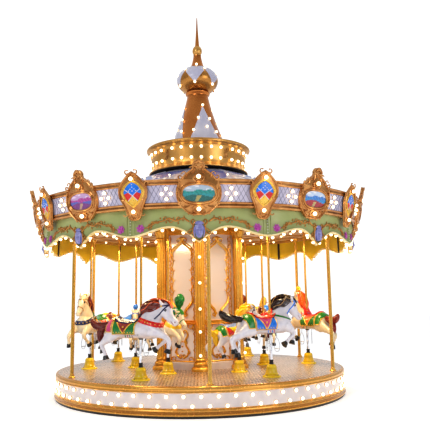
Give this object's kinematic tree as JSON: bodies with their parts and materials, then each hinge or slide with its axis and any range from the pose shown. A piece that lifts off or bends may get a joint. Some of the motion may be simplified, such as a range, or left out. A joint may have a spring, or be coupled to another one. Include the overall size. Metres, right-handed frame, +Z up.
{
  "type": "fairground carousel",
  "caption": "Round fairground carousel: a turning platform with rising horses on poles, a centre cabinet, and a scalloped crown under a pointed roof tower.",
  "frame": {"origin": "on the ground at the centre of the plinth's underside", "axes": "+Z up along the axis the platform turns about; -Y is the front shown in the picture"},
  "size_m": [5.1688, 5.1626, 6.052],
  "materials": {
    "black_paint": "satin black",
    "gold_paint": "gold paint, glossy",
    "light_band": "white gloss",
    "tread_plate": "ribbed tread plate",
    "bell_yellow": "yellow gloss",
    "pole_gold": "polished",
    "cabinet_panel": "pale panels with gold frames",
    "crown_panel": "moulded, sage green and gold",
    "crown_board": "moulded, pale lilac field with gold rails",
    "roof_lilac": "pale lilac",
    "dome_gold": "gold and lilac",
    "horse_paint": "glossy painted"
  },
  "bodies": {
    "base": {"base_plinth": "black_paint"},
    "turntable": {"platform_drum": "black_paint", "rim_lower_moulding": "gold_paint", "rim_light_band": "light_band", "rim_upper_moulding": "gold_paint", "deck": "tread_plate", "bell_outer_1": "bell_yellow", "bell_outer_2": "bell_yellow", "bell_outer_3": "bell_yellow", "bell_outer_4": "bell_yellow", "bell_outer_5": "bell_yellow", "bell_outer_6": "bell_yellow", "bell_inner_1": "bell_yellow", "bell_inner_2": "bell_yellow", "bell_inner_3": "bell_yellow", "bell_inner_4": "bell_yellow", "bell_inner_5": "bell_yellow", "bell_inner_6": "bell_yellow", "outer_pole_1": "pole_gold", "outer_pole_2": "pole_gold", "outer_pole_3": "pole_gold", "outer_pole_4": "pole_gold", "outer_pole_5": "pole_gold", "outer_pole_6": "pole_gold", "centre_cabinet": "cabinet_panel", "ceiling": "gold_paint", "crown_board_1": "crown_board", "crown_board_2": "crown_board", "crown_board_3": "crown_board", "crown_board_4": "crown_board", "crown_board_5": "crown_board", "valance_1": "crown_panel", "valance_2": "crown_panel", "valance_3": "crown_panel", "valance_4": "crown_panel", "valance_5": "crown_panel", "valance_6": "crown_panel", "valance_7": "crown_panel", "valance_8": "crown_panel", "valance_9": "crown_panel", "roof_cone": "roof_lilac", "lamp_drum": "dome_gold", "tower_cone": "roof_lilac", "onion_dome": "dome_gold", "finial": "pole_gold"},
    "outer_horse_1": {"horse_outer_1": "horse_paint"},
    "outer_horse_2": {"horse_outer_2": "horse_paint"},
    "outer_horse_3": {"horse_outer_3": "horse_paint"},
    "outer_horse_4": {"horse_outer_4": "horse_paint"},
    "outer_horse_5": {"horse_outer_5": "horse_paint"},
    "outer_horse_6": {"horse_outer_6": "horse_paint"},
    "inner_horse_1": {"horse_inner_1": "horse_paint"},
    "inner_horse_2": {"horse_inner_2": "horse_paint"},
    "inner_horse_3": {"horse_inner_3": "horse_paint"},
    "inner_horse_4": {"horse_inner_4": "horse_paint"},
    "inner_horse_5": {"horse_inner_5": "horse_paint"},
    "inner_horse_6": {"horse_inner_6": "horse_paint"}
  },
  "joints": [
    {"name": "carousel_turn", "type": "hinge", "parent": "base", "child": "turntable", "pos_m": [0, 0, 0.03], "axis": [0, 0, 1], "continuous": true},
    {"name": "outer_rise_1", "type": "slide", "parent": "turntable", "child": "outer_horse_1", "axis": [0, 0, 1], "range_m": [-0.07, 0.13]},
    {"name": "outer_rise_2", "type": "slide", "parent": "turntable", "child": "outer_horse_2", "axis": [0, 0, 1], "range_m": [-0.04, 0.16]},
    {"name": "outer_rise_3", "type": "slide", "parent": "turntable", "child": "outer_horse_3", "axis": [0, 0, 1], "range_m": [-0.15, 0.05]},
    {"name": "outer_rise_4", "type": "slide", "parent": "turntable", "child": "outer_horse_4", "axis": [0, 0, 1], "range_m": [-0.01, 0.19]},
    {"name": "outer_rise_5", "type": "slide", "parent": "turntable", "child": "outer_horse_5", "axis": [0, 0, 1], "range_m": [-0.04, 0.16]},
    {"name": "outer_rise_6", "type": "slide", "parent": "turntable", "child": "outer_horse_6", "axis": [0, 0, 1], "range_m": [-0.04, 0.16]},
    {"name": "inner_rise_1", "type": "slide", "parent": "turntable", "child": "inner_horse_1", "axis": [0, 0, 1], "range_m": [-0.13, 0.07]},
    {"name": "inner_rise_2", "type": "slide", "parent": "turntable", "child": "inner_horse_2", "axis": [0, 0, 1], "range_m": [-0.11, 0.09]},
    {"name": "inner_rise_3", "type": "slide", "parent": "turntable", "child": "inner_horse_3", "axis": [0, 0, 1], "range_m": [-0.15, 0.05]},
    {"name": "inner_rise_4", "type": "slide", "parent": "turntable", "child": "inner_horse_4", "axis": [0, 0, 1], "range_m": [-0.07, 0.13]},
    {"name": "inner_rise_5", "type": "slide", "parent": "turntable", "child": "inner_horse_5", "axis": [0, 0, 1], "range_m": [-0.04, 0.16]},
    {"name": "inner_rise_6", "type": "slide", "parent": "turntable", "child": "inner_horse_6", "axis": [0, 0, 1], "range_m": [-0.13, 0.07]}
  ]
}
